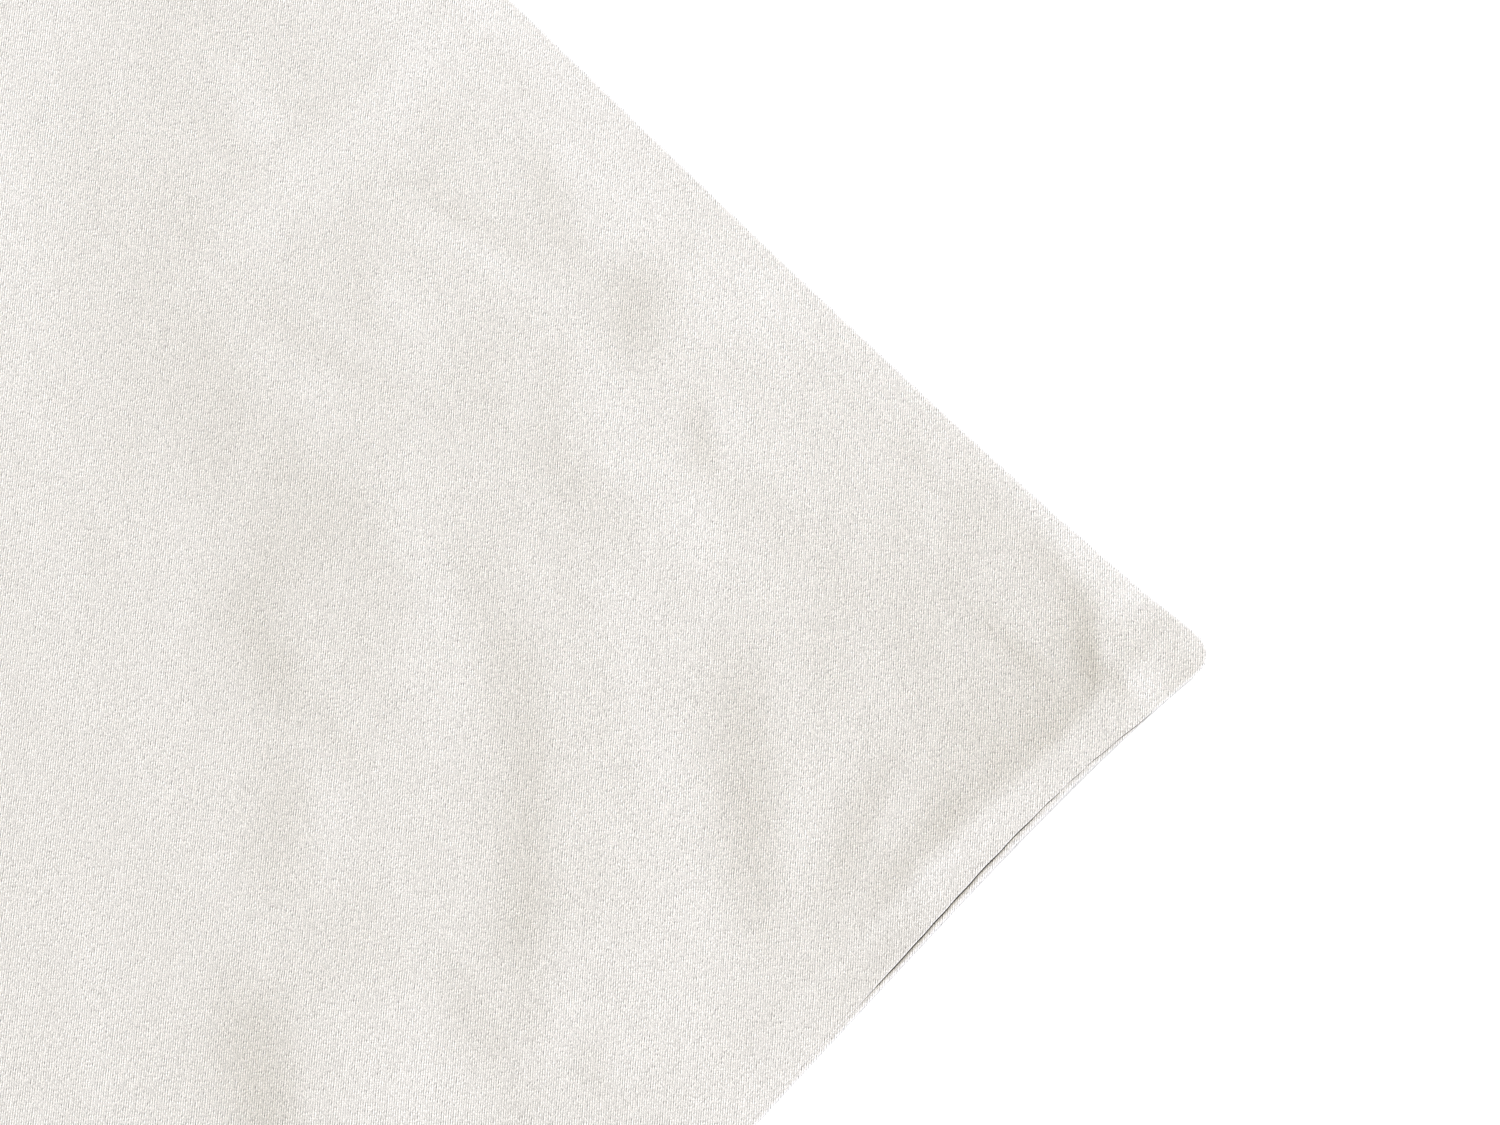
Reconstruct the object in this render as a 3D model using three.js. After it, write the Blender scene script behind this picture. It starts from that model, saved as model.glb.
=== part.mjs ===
// An empty cotton duvet cover, laid out flat: a front and a back panel, sewn together along the
// head and both long sides, and along the foot up to the mouth in its middle.
// X runs across the cover, +Y towards its head, +Z up. The floor is z = 0. Millimetres.
import * as THREE from "three";

// Driving dimensions.
const WIDTH = 1400;
const LENGTH = 2000;
const CLOTH = 1.0; // each panel's thickness
const GAP = 0.3; // between the panels where they touch
const CORNER_RADIUS = 6.2;
const SEAM = {
  allowance: 10, // how far each panel is turned in at a sewn edge
  step: 4, // over which the cloth drops from the turned-in double layer to the single one
  layer: 0.4, // what the turned-in layer adds to each panel
  thinned: 0.72, // share of its thickness that a panel keeps at the very edge
  rounding: 2.4, // over which it gets that thin
};
const HEM = { width: 25, layer: 0.6 }; // the mouth's hems, turned in and sewn flat
const MOUTH = {
  halfWidth: 500,
  roof: 370, // half the width that stands open at its full height
  rise: 12,
  depth: 240, // how far in the pocket keeps that height
  run: 320, // over which it closes behind that
};
const AIR = 0.9; // the front panel's usual height over the back one, away from its edges
const AIR_REACH = 9; // how soon it gets there
const BROAD_REACH = 100; // how far in from a sewn edge the broad folds reach their full height
const FADE = 0.9; // how fast a fold fades out past its ends

// Each edge is drawn in a little near its corners and bowed out between them.
const SIDE_EDGE = { length: LENGTH, drawIn: 2.9, reach: 60, bow: 6.5, wander: 1.6, waves: 3.3 };
const END_EDGE = { length: WIDTH, drawIn: 2.6, reach: 130, bow: 1.0, wander: 1.8, waves: 2.6 };

// Along the sides the seam has rolled under, so that the back panel stands out past the front one.
const SIDE_ROLL = { usual: 1.2, most: 1.8, at: 60, spread: 24, from: 12, to: 40 };
// At the head the front panel has rolled over instead, and hides the back one.
const HEAD_ROLL = 0.6;

// Round the head's right-hand corner what is turned in lies doubled, and props the front panel up.
const CORNER_LIFT = {
  seam: 11.5, // how far in from the side the step down from it starts
  run: 24,
  round: 12, // how much further in it starts at the very corner
  step: 1.4,
  sideUntil: 92, // how far down the side it reaches
  edge: 0.4, // how much lower the very edge is
  knoll: 1.9, // a round rise over what is turned in
  shelf: 1.3, // a longer, flatter one along the head
  tip: 1.2, // over the very corner
};

// A fold's crest runs from (u0, v0) to (u1, v1), where u and v are the distances in from the right
// side and from the head, as the cloth lies. Seen from above along that way, it falls off over left
// and right on its two sides. A negative height is a trough, and bow bends the crest to its left.
const FOLD_COLUMNS = ["u0", "v0", "u1", "v1", "left", "right", "height", "bow"];

// The folds round the head's right-hand corner.
const CORNER_FOLDS = table(FOLD_COLUMNS, [
  [46, 4.5, 27, 8.5, 5, 3.6, 0.5, 0],
  [39, 26.5, 20, 25.5, 7, 3.4, 0.45, 0],
  [29, 7, 12, 20, 12, 4.5, 0.5, 0],
  [67, 64, 21.5, 98, 28, 11.5, 1.6, 0.3],
  [46, 84, 28, 102, 7, 9, 0.2, 0],
  [30, 59, 17.5, 90, 22, 7, 1.15, 0],
  [12, 55, 13, 84, 60, 6, 0.8, 0],
  [9, 58, 9, 90, 20, 26, -1.05, 0],
  [80, 92, 38, 117, 11, 22, 0.45, 0],
  [140, 19, 125, 36, 18, 11, 1.05, 1],
  [176, 20, 154, 31, 7, 4.5, 0.33, 0],
  [158, 14, 155, 34, 8, 20, 0.6, 0],
  [114, 35, 99, 44, 6, 4, 0.4, 0],
  [225, 20, 115, 24, 20, 60, 0.6, 0],
  [174, 47, 85, 66, 13, 18, 0.64, 0],
  [138, 60, 104, 62, 24, 9, 0.5, 0],
  [151, 62, 137, 70, 6, 6, 0.22, 0],
  [112, 87, 32, 158, 29, 9.5, 1.05, 3],
  [64, 150, 42, 157, 14, 7, 0.65, 0],
  [148, 95, 52, 178, 26, 22, 0.6, 0],
  [192, 12, 178, 112, 34, 110, 1.6, 0],
  [99, 46, 101, 90, 24, 7, 0.4, 0],
  [160, 94.5, 109, 107, 60, 20, 1.8, 0],
  [152, 126, 121, 135, 17, 11, 1.25, 0],
  [123, 134, 104, 138, 8, 5, 0.35, 0],
  [87, 180, 56, 199, 26, 12, 1.7, 0],
  [192, 90.5, 158, 84, 4, 8, -0.36, 0],
  [117, 145, 98, 167, 9, 8, 0.5, 0],
  [240, 53, 212, 52, 11, 7, -0.3, 0],
  [216, 8, 213, 96, 10, 70, 0.9, 0],
  [242, 20, 238, 90, 24, 24, 0.8, 0],
  [205, 12, 95, 10, 8, 25, -0.3, 0],
  [132, 50, 88, 52, 7, 14, -0.3, 0],
  [118, 92, 88, 102, 60, 9, 0.45, 0],
  [128, 42, 137, 145, 38, 38, -1.05, 0],
  [56, 120, 28, 134, 22, 60, 0.5, 0],
  [46, 10, 18, 10, 6, 12, -0.2, 0],
  [232, 14, 145, 13, 9, 60, -0.4, 0],
  [95, 70, 35, 92, 26, 60, -0.5, 0],
  [198, 90, 164, 110, 40, 12, 0.55, 0],
  [102, 81, 66, 95, 44, 10, 0.35, 0],
  [102, 36, 68, 39, 9, 9, 0.28, 0],
  [128, 121, 98, 127, 44, 9, 0.35, 0],
]);

// The broad folds over the rest of the cover.
const BROAD_FOLDS = table(FOLD_COLUMNS, [
  [300, 60, 250, 330, 40, 60, 5, 15],
  [420, 120, 560, 480, 70, 45, 8, -25],
  [640, 60, 700, 300, 45, 60, 6, 10],
  [860, 90, 760, 420, 60, 80, 8, 25],
  [1060, 70, 1180, 330, 50, 70, 7, -15],
  [1290, 90, 1080, 420, 45, 75, 8, 20],
  [120, 300, 60, 640, 50, 40, 6, 12],
  [330, 420, 190, 800, 75, 50, 9, -25],
  [560, 560, 420, 1000, 60, 85, 10, 35],
  [820, 500, 900, 860, 80, 55, 8, 30],
  [1180, 480, 1020, 860, 60, 80, 9, -30],
  [1310, 560, 1290, 900, 40, 50, 6, 8],
  [700, 840, 1000, 960, 55, 70, 7, -20],
  [260, 900, 120, 1250, 60, 45, 8, 18],
  [620, 1000, 560, 1330, 70, 60, 8, -22],
  [900, 1060, 1130, 1290, 75, 60, 9, 24],
  [1280, 1000, 1230, 1380, 50, 55, 7, 12],
  [400, 1180, 330, 1500, 60, 70, 8, 16],
  [780, 1240, 700, 1560, 65, 80, 9, -20],
  [1040, 1420, 1180, 1700, 60, 70, 8, 18],
  [150, 1420, 90, 1760, 50, 45, 6, -10],
  [330, 1600, 520, 1900, 80, 60, 5, 15],
  [900, 1640, 880, 1930, 90, 70, 5, -10],
  [1320, 1560, 1300, 1900, 45, 50, 5, 6],
]);

/** Turns rows of numbers into objects with the named columns. */
function table(columns, rows) {
  return rows.map((row) => Object.fromEntries(columns.map((name, i) => [name, row[i]])));
}

/** Rises smoothly from 0 at low to 1 at high. */
function smoothStep(low, high, value) {
  const t = Math.min(1, Math.max(0, (value - low) / (high - low)));
  return t * t * (3 - 2 * t);
}

/** How far an edge lies inside the straight line between its corners, s along it from one. */
function edgeInset(edge, s) {
  const drawn = (distance) => (distance / edge.reach) * Math.exp(1 - distance / edge.reach);
  const middle = Math.sin((Math.PI * s) / edge.length);
  const wander = Math.sin((2 * Math.PI * edge.waves * s) / edge.length) * middle * middle;
  return (
    edge.drawIn * (drawn(s) + drawn(edge.length - s)) - edge.bow * middle + edge.wander * wander
  );
}

/** How far the front panel's side edge stays inside the back one's, s from the nearer corner. */
function sideRoll(s) {
  const { usual, most, at, spread, from, to } = SIDE_ROLL;
  return (usual + (most - usual) * Math.exp(-(((s - at) / spread) ** 2))) * smoothStep(from, to, s);
}

/** One fold's height at (u, v): full half-way along its crest, and fading out past its ends. */
function foldHeight({ u0, v0, u1, v1, left, right, height, bow }, u, v) {
  const length = Math.hypot(u1 - u0, v1 - v0);
  const du = (u1 - u0) / length;
  const dv = (v1 - v0) / length;
  const along = ((u - u0) * du + (v - v0) * dv) / length;
  const share = Math.min(1, Math.max(0, along));
  const across = (v - v0) * du - (u - u0) * dv - 4 * bow * share * (1 - share);
  const fallOff = (across / (across > 0 ? left : right)) ** 2;
  const fading = FADE * Math.abs(2 * along - 1) ** 3;
  return height * Math.exp(-fallOff - fading);
}

/** The height of a list of folds at (u, v). */
function foldsHeight(folds, u, v) {
  return folds.reduce((sum, fold) => sum + foldHeight(fold, u, v), 0);
}

/** How far the front panel is propped up round its right-hand head corner. */
function cornerRise(u, v) {
  const { seam, run, round, step, sideUntil, edge, knoll, shelf, tip } = CORNER_LIFT;
  const within = (distance, start, reach) => {
    const share = 1 - Math.min(1, Math.max(0, (distance - start) / reach));
    return share * share;
  };
  const start = seam + round * (1 - smoothStep(9, 26, v));
  const fullness = 0.75 + 0.25 * smoothStep(12, 20, v) + 0.35 * smoothStep(36, 74, v);
  const ended = Math.exp(-((v / sideUntil) ** 6));
  const drawnDown =
    smoothStep(24, 34, v) - 2.6 * smoothStep(36, 84, v) + 1.6 * smoothStep(84, 130, v);
  const fromHead = smoothStep(-5, 18, v + 18 * (1 - smoothStep(4, 22, u)));
  return (
    step * within(u, start, run) * fullness * ended -
    edge * (1 - smoothStep(1, seam, u)) * drawnDown +
    knoll * within(u, seam, 60) * fromHead * (1 - smoothStep(20, 80, v)) +
    shelf * (1 - smoothStep(35, 85, u)) * (smoothStep(-12, 6, v) - smoothStep(24, 74, v)) +
    tip * Math.exp(-(u * u + v * v) / 150)
  );
}

/** How far the mouth stands open over a point, from 0 to 1. */
function mouthShare(x, fromFoot) {
  const across = 1 - smoothStep(MOUTH.roof, MOUTH.halfWidth, Math.abs(x));
  return across * (1 - smoothStep(MOUTH.depth, MOUTH.depth + MOUTH.run, fromFoot));
}

/** The cloth at a point u in from the right-hand side and v in from the head, laid flat. */
function siteAt(u, v) {
  const fromFoot = LENGTH - v;
  const fromSewn = Math.min(u, v, WIDTH - u);
  const x = WIDTH / 2 - u;
  const atMouth = Math.abs(x) < MOUTH.halfWidth;
  const fromEdge = Math.min(fromSewn, fromFoot);
  const sewnDistance = atMouth ? fromSewn : fromEdge;
  const turnedIn = 1 - smoothStep(SEAM.allowance, SEAM.allowance + SEAM.step, sewnDistance);
  const hemmed = atMouth ? 1 - smoothStep(HEM.width, HEM.width + SEAM.step, fromFoot) : 0;
  const extra = Math.max(SEAM.layer * turnedIn, HEM.layer * hemmed);
  const thinned = SEAM.thinned + (1 - SEAM.thinned) * smoothStep(0, SEAM.rounding, fromEdge);
  const loose = smoothStep(3, SEAM.allowance + SEAM.step, sewnDistance);
  const held = smoothStep(0, BROAD_REACH, sewnDistance);
  const propped = smoothStep(0, CORNER_RADIUS, sewnDistance);
  const [foldX, foldY] = placeOnFloor(u, v, true);
  const foldPlace = [WIDTH / 2 - foldX, LENGTH / 2 - foldY];
  const filled = (distance) => 1 - Math.exp(-distance / AIR_REACH);
  const air = AIR * filled(u) * filled(WIDTH - u) * filled(v);
  const rumpled =
    air + foldsHeight(CORNER_FOLDS, ...foldPlace) + held * foldsHeight(BROAD_FOLDS, ...foldPlace);
  return {
    thickness: (CLOTH + extra) * thinned,
    backTop: CLOTH + extra,
    lift:
      loose * Math.max(0, rumpled) +
      propped * cornerRise(...foldPlace) +
      MOUTH.rise * mouthShare(x, fromFoot),
  };
}

/** The place on the floor of a point (u, v), with the edges' true shape and round corners. */
function placeOnFloor(u, v, isFront) {
  const [au, av] = roundCorner(Math.min(u, WIDTH - u), Math.min(v, LENGTH - v));
  const right = u <= WIDTH / 2;
  const head = v <= LENGTH / 2;
  const alongSide = right ? v : LENGTH - v;
  const alongEnd = head ? u : WIDTH - u;
  const sideDrop = edgeInset(SIDE_EDGE, alongSide) + (isFront ? sideRoll(Math.min(v, LENGTH - v)) : 0);
  const endDrop = edgeInset(END_EDGE, alongEnd) + (isFront ? 0 : HEAD_ROLL);
  const x = (WIDTH / 2 - au) * (1 - (2 * sideDrop) / WIDTH);
  const y = (LENGTH / 2 - av) * (1 - (2 * endDrop) / LENGTH);
  return [right ? x : -x, head ? y : -y];
}

/** Pulls the square corner of distances in from two edges on to a round one. */
function roundCorner(du, dv) {
  const a = CORNER_RADIUS - du;
  const b = CORNER_RADIUS - dv;
  if (a <= 0 || b <= 0) return [du, dv];
  const shrink = Math.max(a, b) / Math.hypot(a, b);
  return [CORNER_RADIUS - a * shrink, CORNER_RADIUS - b * shrink];
}

/** Grid lines from the first stop to the last, through each, at most a spacing apart. */
function linesThrough(stops, spacing) {
  const lines = [stops[0]];
  for (const stop of stops.slice(1)) {
    const start = lines[lines.length - 1];
    const count = Math.ceil((stop - start) / spacing);
    for (let i = 1; i <= count; i++) lines.push(start + ((stop - start) * i) / count);
  }
  return lines;
}

/** The rectangles between the lines of a block. */
function blockCells({ uLines, vLines }) {
  return vLines.slice(1).flatMap((v1, row) =>
    uLines.slice(1).map((u1, column) => ({ u0: uLines[column], u1, v0: vLines[row], v1 })),
  );
}

/**
 * Triangles over cells of unlike sizes, as {points, triangles}. A cell that has finer neighbours
 * is a fan round its middle, which takes in their corners, so that no crack is left.
 */
function triangulate(cells) {
  const points = new Map();
  const add = (u, v) => {
    const key = u.toFixed(4) + " " + v.toFixed(4);
    if (!points.has(key)) points.set(key, { u, v, index: points.size });
    return points.get(key);
  };
  for (const { u0, u1, v0, v1 } of cells) [u0, u1].forEach((u) => [v0, v1].forEach((v) => add(u, v)));
  const corners = [...points.values()];
  const triangles = [];
  for (const { u0, u1, v0, v1 } of cells) {
    const near = corners.filter(({ u, v }) => u >= u0 && u <= u1 && v >= v0 && v <= v1);
    const rising = (key) => (a, b) => a[key] - b[key];
    const falling = (key) => (a, b) => b[key] - a[key];
    const ring = [
      ...near.filter(({ u, v }) => v === v0 && u < u1).sort(rising("u")),
      ...near.filter(({ u, v }) => u === u1 && v < v1).sort(rising("v")),
      ...near.filter(({ u, v }) => v === v1 && u > u0).sort(falling("u")),
      ...near.filter(({ u, v }) => u === u0 && v > v0).sort(falling("v")),
    ].map(({ index }) => index);
    if (ring.length === 4) {
      const [a, b, c, d] = ring;
      triangles.push([a, b, c], [a, c, d]);
    } else {
      const middle = add((u0 + u1) / 2, (v0 + v1) / 2).index;
      ring.forEach((a, i) => triangles.push([a, ring[(i + 1) % ring.length], middle]));
    }
  }
  return { points: [...points.values()], triangles };
}

/** A closed sheet between a lower and an upper surface over the cells. */
function sheetGeometry(cells, isFront, heightsAt) {
  const { points, triangles } = triangulate(cells);
  const surface = (side) =>
    points.flatMap(({ u, v }) => [...placeOnFloor(u, v, isFront), heightsAt(u, v)[side]]);
  const top = points.length;
  const index = triangles.flatMap(([a, b, c]) => [a, c, b, top + a, top + b, top + c]);
  const edges = new Set(triangles.flatMap(([a, b, c]) => [a + " " + b, b + " " + c, c + " " + a]));
  for (const edge of edges) {
    const [a, b] = edge.split(" ").map(Number);
    if (!edges.has(b + " " + a)) index.push(a, b, top + b, a, top + b, top + a);
  }
  const geometry = new THREE.BufferGeometry();
  const positions = [...surface("low"), ...surface("high")];
  geometry.setAttribute("position", new THREE.Float32BufferAttribute(positions, 3));
  geometry.setIndex(index);
  geometry.computeVertexNormals();
  return geometry;
}

const cotton = new THREE.MeshStandardMaterial({
  color: new THREE.Color("rgb(234, 230, 225)"),
  roughness: 0.9,
  metalness: 0,
});

// The grids that the panels are built on: fine near the folded corner, wide elsewhere.
const PATCH = 200; // side of the fine square
const FINE = 7.5;
const WIDE = 80;
const PLAIN = 250; // on the flat back panel
const SEAM_LINES = [0, 1.4, 3.1, CORNER_RADIUS, SEAM.allowance, SEAM.allowance + SEAM.step];
const SEAM_END = SEAM_LINES[SEAM_LINES.length - 1];
const HEM_END = HEM.width + SEAM.step;
const MOUTH_START = WIDTH / 2 - MOUTH.halfWidth;
const ROOF_START = WIDTH / 2 - MOUTH.roof;
const leftLines = SEAM_LINES.map((distance) => WIDTH - distance).reverse();
const footLines = [...SEAM_LINES, HEM.width, HEM_END].map((distance) => LENGTH - distance).reverse();
const nearLines = (spacing) => [...SEAM_LINES, ...linesThrough([SEAM_END, PATCH], spacing).slice(1)];
const acrossMouth = [ROOF_START, WIDTH - ROOF_START, WIDTH - MOUTH_START, ...leftLines];
const downToFoot = [LENGTH - MOUTH.depth - MOUTH.run, LENGTH - MOUTH.depth, ...footLines];
const uFar = linesThrough([PATCH, ...acrossMouth], WIDE);
const vFar = linesThrough([PATCH, ...downToFoot], WIDE);
const FRONT_BLOCKS = [
  { uLines: nearLines(FINE), vLines: nearLines(FINE) },
  { uLines: nearLines(WIDE), vLines: vFar },
  { uLines: uFar, vLines: nearLines(WIDE) },
  { uLines: uFar, vLines: vFar },
];
const BACK_BLOCKS = [
  {
    uLines: linesThrough([...SEAM_LINES, MOUTH_START, WIDTH - MOUTH_START, ...leftLines], PLAIN),
    vLines: linesThrough([...SEAM_LINES, ...footLines], PLAIN),
  },
];

function panel(name, isFront, blocks, heightsAt) {
  const cells = blocks.flatMap(blockCells);
  const mesh = new THREE.Mesh(sheetGeometry(cells, isFront, heightsAt), cotton.clone());
  mesh.name = name;
  return mesh;
}

function backHeights(u, v) {
  return { low: 0, high: siteAt(u, v).backTop };
}

function frontHeights(u, v) {
  const { thickness, backTop, lift } = siteAt(u, v);
  const low = backTop + GAP + lift;
  return { low, high: low + thickness };
}

const duvetCover = new THREE.Group();
duvetCover.add(
  panel("back_panel", false, BACK_BLOCKS, backHeights),
  panel("front_panel", true, FRONT_BLOCKS, frontHeights),
);

export default duvetCover;
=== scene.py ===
"""An empty off-white cotton duvet cover, laid flat and seen at the right-hand corner of its head.

Lengths are in millimetres until they go into a mesh. u is a point's distance in from the right
side of the cover and v its distance in from the head, as the cloth lies.
"""

import math

import bpy
import numpy as np
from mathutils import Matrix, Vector


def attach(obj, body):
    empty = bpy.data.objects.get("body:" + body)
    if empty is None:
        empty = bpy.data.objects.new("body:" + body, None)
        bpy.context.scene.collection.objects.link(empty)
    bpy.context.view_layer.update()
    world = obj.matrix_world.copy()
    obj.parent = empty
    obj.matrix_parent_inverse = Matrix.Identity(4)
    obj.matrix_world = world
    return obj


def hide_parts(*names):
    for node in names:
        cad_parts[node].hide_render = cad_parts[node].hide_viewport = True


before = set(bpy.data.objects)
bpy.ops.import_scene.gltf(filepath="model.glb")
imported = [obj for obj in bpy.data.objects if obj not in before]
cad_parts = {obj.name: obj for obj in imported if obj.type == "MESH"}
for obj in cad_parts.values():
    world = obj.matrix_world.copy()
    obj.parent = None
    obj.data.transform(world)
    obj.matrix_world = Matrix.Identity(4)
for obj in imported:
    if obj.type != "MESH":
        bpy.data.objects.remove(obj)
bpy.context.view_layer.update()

MM = 0.001

# ---------------------------------------------------------------- sizes
WIDTH = 1400.0
LENGTH = 2000.0
CORNER_RADIUS = 6.2
ALLOWANCE = 10.0  # turned in at the sewn edges
ALLOWANCE_STEP = 5.0  # over which the front panel comes down from it
ALLOWANCE_RISE = 0.1
HEM = 25.0  # turned in at the mouth
HEM_STEP = 4.0
HEM_RISE = 0.3
STEP_LEAD = 1.0  # how soon those steps down start, before the end of what is turned in
TRIM = dict(least=3.0, slope=0.9)  # what is turned in narrows towards a corner
ROLL = 0.55  # radius of the turned edges, half the cloth's turned thickness
FLOOR_GAP = 0.02
PANEL_GAP = 0.05
BACK_TOP = FLOOR_GAP + 2 * ROLL
FRONT_TOP = BACK_TOP + PANEL_GAP + 2 * ROLL
ON_RIM = 1.0  # a point of the rim that is closer than this to an edge belongs to it
AIR = 0.9  # the front panel's usual height over its seams, away from the edges
AIR_REACH = 9.0  # how soon it gets there
LOOSE_REACH = 10.0  # how far in from a sewn edge the cloth is free to fold
BROAD_REACH = 100.0  # how far in from it the broad folds reach their full height
FADE = 0.9  # how fast a fold fades out past its ends
MOUTH_HALF_WIDTH = 500.0
MOUTH_ROOF = 370.0  # half the width that stands open at its full height
MOUTH_RISE = 12.0
MOUTH_DEPTH = 240.0  # how far in the pocket keeps that height
MOUTH_RUN = 320.0  # over which it closes behind that

# The hem's stitches draw the cloth down a little.
HEM_STITCHES = 22.0  # in from the mouth's edge
STITCH_DIMPLE = dict(depth=0.22, spread=1.5)
STITCH_PITCH = 2.9
STITCH_SHARE = 0.8  # of the pitch, over which the thread shows
STITCH_MARGIN = 4.0  # between the row's end and the mouth's
STITCH_BASE = 0.2  # height of its ends over the cloth, in thread diameters
STITCH_BOW = 0.35  # how much higher its middle is, in thread diameters
THREAD = 0.28  # diameter

# Each edge is drawn in a little near its corners and bowed out between them. Where a value here or
# below is a pair, something comes or goes between those two distances from the corner.
SIDE_EDGE = dict(length=LENGTH, draw_in=2.9, reach=60, bow=6.5, wander=1.6, waves=3.3)
END_EDGE = dict(length=WIDTH, draw_in=2.6, reach=130, bow=1.0, wander=1.8, waves=2.6)
# Along the sides the back panel stands out past the front one, at the ends it stays behind it.
SIDE_ROLL = dict(usual=1.2, most=1.8, at=60, spread=24, start=12, end=40)
HEAD_ROLL = 0.6
# Small waves of the side seam, unevenly long.
SEAM_RIPPLE = dict(pitch=7.8, sway=0.07, shift=1.3, shift_run=6.3, comes=(14, 24), goes=(60, 110))

# Round the head's right-hand corner what is turned in lies doubled, and props the front panel up:
# a step down from it towards the panel's middle, which dips or rises at the very edge, a round
# knoll, a longer, flatter shelf along the head, and the tip. Pairs are in from the head, and what
# is called beside is in from the side.
CORNER_SEAM = 11.5  # how far in from the side what is turned in ends
CORNER_STEP = dict(
    height=1.4,
    run=24,
    round=12,  # how much further in it starts at the very corner
    rounding_goes=(9, 26),
    least=0.75,  # its share of that height at the head
    full=(12, 20),
    growth=0.35,
    grows=(36, 74),
    until=92,  # how far down the side it reaches
)
EDGE_DIP = dict(
    depth=0.4,
    beside=1,
    comes=(24, 34),
    turn=2.6,  # from the dip to a rise 1.6 times as high
    turns=(36, 84),
    back=1.6,  # and back to level
    ends=(84, 130),
)
KNOLL = dict(height=1.9, run=60, comes=(-5, 18), lead=18, lead_beside=(4, 22), goes=(20, 80))
SHELF = dict(height=1.3, comes=(-12, 6), goes=(24, 74), goes_beside=(35, 85))
TIP = dict(height=1.2, reach_squared=150)

# Between the two panels lies the ditch of the seam. It is shallow, and deep where the seam is
# pulled open. Its inner side is the front panel's rounded edge and its outer side the back's, which
# is widest a little further along.
DITCH = dict(shallow=0.05, deep=0.42, opens=(36, 68), closes=(88, 104), starts=(10, 22))
DITCH_SIDES = dict(inner=0.13, narrow=0.14, wide=0.42, at=76, spread=28)
# The back panel's rim outside that ditch.
BACK_RIM = dict(
    crest=0.3,  # where its crest is, as a share of how far it stands out
    lower=0.1,  # how much lower that is than the front panel
    side=0.4,  # the width of its inner side where there is no ditch
    closed=0.03,  # between its inner side and the front panel's edge
    opened=0.2,  # the same where the seam is pulled open
    slant=0.12,  # between the ditch's foot and the flat cloth under it
)

# ---------------------------------------------------------------- folds
# A crest runs from (u0, v0) to (u1, v1). Seen from above along that way it falls off over left and
# right on its two sides. A negative height is a trough, and bow bends the crest to its left.
FOLD_COLUMNS = ("u0", "v0", "u1", "v1", "left", "right", "height", "bow")

CORNER_FOLDS = [
    (46, 4.5, 27, 8.5, 5, 3.6, 0.5, 0),
    (39, 26.5, 20, 25.5, 7, 3.4, 0.45, 0),
    (29, 7, 12, 20, 12, 4.5, 0.5, 0),
    (67, 64, 21.5, 98, 28, 11.5, 1.6, 0.3),
    (46, 84, 28, 102, 7, 9, 0.2, 0),
    (30, 59, 17.5, 90, 22, 7, 1.15, 0),
    (12, 55, 13, 84, 60, 6, 0.8, 0),
    (9, 58, 9, 90, 20, 26, -1.05, 0),
    (80, 92, 38, 117, 11, 22, 0.45, 0),
    (140, 19, 125, 36, 18, 11, 1.05, 1),
    (176, 20, 154, 31, 7, 4.5, 0.33, 0),
    (158, 14, 155, 34, 8, 20, 0.6, 0),
    (114, 35, 99, 44, 6, 4, 0.4, 0),
    (225, 20, 115, 24, 20, 60, 0.6, 0),
    (174, 47, 85, 66, 13, 18, 0.64, 0),
    (138, 60, 104, 62, 24, 9, 0.5, 0),
    (151, 62, 137, 70, 6, 6, 0.22, 0),
    (112, 87, 32, 158, 29, 9.5, 1.05, 3),
    (64, 150, 42, 157, 14, 7, 0.65, 0),
    (148, 95, 52, 178, 26, 22, 0.6, 0),
    (192, 12, 178, 112, 34, 110, 1.6, 0),
    (99, 46, 101, 90, 24, 7, 0.4, 0),
    (160, 94.5, 109, 107, 60, 20, 1.8, 0),
    (152, 126, 121, 135, 17, 11, 1.25, 0),
    (123, 134, 104, 138, 8, 5, 0.35, 0),
    (87, 180, 56, 199, 26, 12, 1.7, 0),
    (192, 90.5, 158, 84, 4, 8, -0.36, 0),
    (117, 145, 98, 167, 9, 8, 0.5, 0),
    (240, 53, 212, 52, 11, 7, -0.3, 0),
    (216, 8, 213, 96, 10, 70, 0.9, 0),
    (242, 20, 238, 90, 24, 24, 0.8, 0),
    (205, 12, 95, 10, 8, 25, -0.3, 0),
    (132, 50, 88, 52, 7, 14, -0.3, 0),
    (118, 92, 88, 102, 60, 9, 0.45, 0),
    (128, 42, 137, 145, 38, 38, -1.05, 0),
    (56, 120, 28, 134, 22, 60, 0.5, 0),
    (46, 10, 18, 10, 6, 12, -0.2, 0),
    (232, 14, 145, 13, 9, 60, -0.4, 0),
    (95, 70, 35, 92, 26, 60, -0.5, 0),
    (198, 90, 164, 110, 40, 12, 0.55, 0),
    (102, 81, 66, 95, 44, 10, 0.35, 0),
    (102, 36, 68, 39, 9, 9, 0.28, 0),
    (128, 121, 98, 127, 44, 9, 0.35, 0),
]

# Narrow creases round the same corner, too fine for the part's solids.
CORNER_CREASES = [
    (185, 48.5, 154, 41, 4.0, 3.6, -0.36, 0),
    (71, 0, 53, 29, 9, 3.0, -0.2, 0),
    (13, 16.5, 2, 20.3, 20, 2.1, 0.4, 0),
    (13, 26, 2, 29, 2.5, 2.5, 0.06, 0),
    (13, 33, 3, 38, 3, 3, 0.06, 0),
    (182, 68, 165, 72, 6, 5, 0.22, 0),
    (35, 142, 25, 150, 5, 4, 0.2, 0),
    (232, 62, 214, 67, 5, 5, 0.2, 0),
]

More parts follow.
